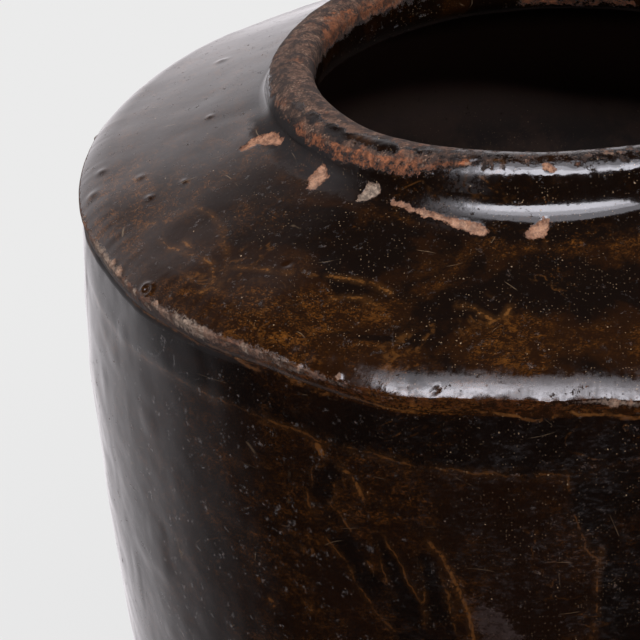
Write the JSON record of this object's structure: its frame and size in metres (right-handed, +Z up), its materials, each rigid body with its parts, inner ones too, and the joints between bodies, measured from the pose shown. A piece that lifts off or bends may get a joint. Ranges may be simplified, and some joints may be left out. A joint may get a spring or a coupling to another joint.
{
  "type": "glazed vinegar jar",
  "caption": "Wide open-mouthed stoneware jar with a sloping shoulder, a sharp shoulder ridge, a rolled rim and a dark glaze inside and out.",
  "frame": {"origin": "centre of the foot, on the surface that the jar stands on", "axes": "+Z up along the turning axis, from the foot to the mouth; the jar is round, so +X and +Y have no special place"},
  "size_m": [0.3132, 0.3132, 0.3399],
  "materials": {
    "fired_clay": "matte, unglazed fired stoneware",
    "worn_rim_clay": "matte, with the glaze wiped and worn off",
    "outer_glaze": "glossy dark brown glaze",
    "inner_glaze": "thin satin dark brown glaze"
  },
  "bodies": {
    "root": {"base_slab": "fired_clay", "lower_wall": "fired_clay", "upper_wall": "fired_clay", "shoulder_plate": "fired_clay", "neck_collar": "fired_clay", "rolled_rim": "worn_rim_clay", "shoulder_luting_coil": "fired_clay", "floor_luting_coil": "fired_clay", "outer_glaze": "outer_glaze", "inner_glaze": "inner_glaze"}
  },
  "joints": []
}
